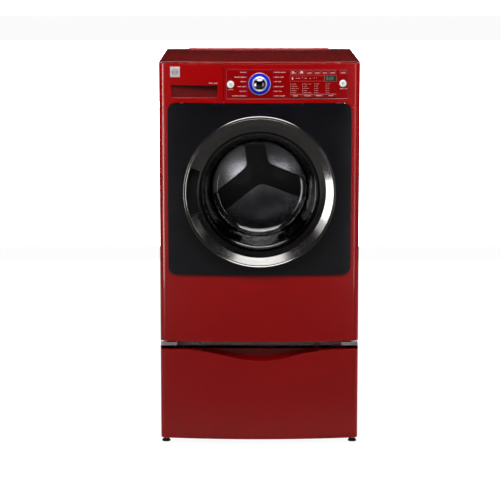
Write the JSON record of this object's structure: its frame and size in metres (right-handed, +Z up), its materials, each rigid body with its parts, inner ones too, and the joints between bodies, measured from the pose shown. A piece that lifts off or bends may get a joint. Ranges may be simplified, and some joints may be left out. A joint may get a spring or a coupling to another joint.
{
  "type": "front load washing machine on drawer pedestal",
  "caption": "Front-loading washing machine with a bowed front, round glass door, dispenser drawer and suspended tub, standing on a matching pedestal with a storage drawer.",
  "frame": {"origin": "on the floor, under the middle of the bounding box", "axes": "+Z up, -Y out of the front with the door, +X to the right seen from the front"},
  "size_m": [0.686, 0.76, 1.336],
  "materials": {
    "red_paint": "gloss",
    "red_plastic": "gloss",
    "panel_film": "gloss",
    "black_gloss": "gloss",
    "dial_light": "gloss, lit",
    "circuit_board": "matte",
    "white_plastic": "satin",
    "tub_plastic": "matte",
    "valve_plastic": "satin",
    "black_rubber": "matte",
    "grey_rubber": "matte",
    "black_plastic": "satin",
    "zinc_steel": "satin",
    "iron_weight": "matte",
    "motor_copper": "satin",
    "drum_steel": "bright",
    "lifter_plastic": "gloss",
    "cast_aluminium": "cast",
    "rotor_steel": "matte",
    "dark_chrome": "dark polished",
    "tinted_glass": "gloss",
    "badge_metal": "satin",
    "knob_chrome": "polished",
    "button_white": "gloss"
  },
  "bodies": {
    "cabinet": {"cabinet_shell": "red_paint", "rear_cover": "red_paint", "rear_screws": "zinc_steel", "top_plate": "red_paint", "base_pan": "zinc_steel", "front_cover": "red_paint", "door_surround": "black_gloss", "control_panel": "red_plastic", "panel_overlay": "panel_film", "dial_ring": "dial_light", "control_board": "circuit_board", "dispenser_housing": "white_plastic", "inlet_valves": "valve_plastic", "fill_hoses": "black_rubber", "door_lock": "black_plastic", "hinge_bracket": "zinc_steel", "gasket": "grey_rubber", "tub_springs": "zinc_steel", "damper_cylinders": "zinc_steel", "drain_pump": "black_plastic", "drain_hose": "black_rubber", "tub_hoses": "black_rubber", "washer_feet": "black_rubber", "foot_brackets": "zinc_steel", "cord_gland": "black_rubber", "pedestal_shell": "red_paint", "pedestal_feet": "black_rubber", "drawer_runners": "zinc_steel"},
    "tub": {"tub_front": "tub_plastic", "tub_rear": "tub_plastic", "counterweights": "iron_weight", "tub_bearings": "zinc_steel", "stator": "motor_copper", "heating_element": "zinc_steel", "damper_rods": "zinc_steel"},
    "drum": {"drum_shell": "drum_steel", "lifters": "lifter_plastic", "drum_spider": "cast_aluminium", "drum_shaft": "zinc_steel", "rotor": "rotor_steel"},
    "door": {"door_ring": "dark_chrome", "door_glass": "tinted_glass", "door_back_frame": "black_plastic", "grip_cup": "black_plastic", "hinge_leaf": "zinc_steel"},
    "latch_hook": {"latch_hook": "zinc_steel"},
    "dispenser_drawer": {"dispenser_front": "red_plastic", "dispenser_tray": "white_plastic", "badge": "badge_metal"},
    "selector_knob": {"selector_knob": "knob_chrome"},
    "power_button": {"power_button": "button_white"},
    "start_button": {"start_button": "button_white"},
    "setting_key_1": {"setting_key_1": "panel_film"},
    "setting_key_2": {"setting_key_2": "panel_film"},
    "setting_key_3": {"setting_key_3": "panel_film"},
    "setting_key_4": {"setting_key_4": "panel_film"},
    "pedestal_drawer": {"drawer_front": "red_paint", "drawer_bin": "zinc_steel", "drawer_slides": "zinc_steel"},
    "pump_impeller": {"pump_impeller": "white_plastic"}
  },
  "joints": [
    {"name": "door_hinge", "type": "hinge", "parent": "cabinet", "child": "door", "pos_m": [0.244, -0.363, 0.892], "axis": [0, 0, 1], "range_deg": [0, 115]},
    {"name": "latch_pivot", "type": "hinge", "parent": "door", "child": "latch_hook", "pos_m": [-0.219, -0.3586, 0.802], "axis": [1, 0, 0], "range_deg": [0, 6.5], "stiffness_Nm_per_rad": 0.1},
    {"name": "tub_bounce", "type": "slide", "parent": "cabinet", "child": "tub", "axis": [0, 0, 1], "range_m": [-0.008, 0.008], "stiffness_N_per_m": 40000, "springref_m": 0.01439, "deforming": ["tub_springs", "gasket", "tub_hoses"]},
    {"name": "drum_spin", "type": "hinge", "parent": "tub", "child": "drum", "pos_m": [0, 0, 0.892], "axis": [0, 1, 0], "continuous": true},
    {"name": "dispenser_slide", "type": "slide", "parent": "cabinet", "child": "dispenser_drawer", "axis": [0, -1, 0], "range_m": [0, 0.22]},
    {"name": "pedestal_drawer_slide", "type": "slide", "parent": "cabinet", "child": "pedestal_drawer", "axis": [0, -1, 0], "range_m": [0, 0.4]},
    {"name": "knob_turn", "type": "hinge", "parent": "cabinet", "child": "selector_knob", "pos_m": [0, -0.345, 1.259], "axis": [0, 1, 0], "continuous": true},
    {"name": "power_push", "type": "slide", "parent": "cabinet", "child": "power_button", "axis": [0, 1, 0], "range_m": [0, 0.0015], "stiffness_N_per_m": 800},
    {"name": "start_push", "type": "slide", "parent": "cabinet", "child": "start_button", "axis": [0, 1, 0], "range_m": [0, 0.0015], "stiffness_N_per_m": 800},
    {"name": "key_1_push", "type": "slide", "parent": "cabinet", "child": "setting_key_1", "axis": [0, 1, 0], "range_m": [0, 0.0015], "stiffness_N_per_m": 800},
    {"name": "key_2_push", "type": "slide", "parent": "cabinet", "child": "setting_key_2", "axis": [0, 1, 0], "range_m": [0, 0.0015], "stiffness_N_per_m": 800},
    {"name": "key_3_push", "type": "slide", "parent": "cabinet", "child": "setting_key_3", "axis": [0, 1, 0], "range_m": [0, 0.0015], "stiffness_N_per_m": 800},
    {"name": "key_4_push", "type": "slide", "parent": "cabinet", "child": "setting_key_4", "axis": [0, 1, 0], "range_m": [0, 0.0015], "stiffness_N_per_m": 800},
    {"name": "impeller_spin", "type": "hinge", "parent": "cabinet", "child": "pump_impeller", "pos_m": [0.18, -0.207, 0.432], "axis": [0, 1, 0], "continuous": true}
  ]
}
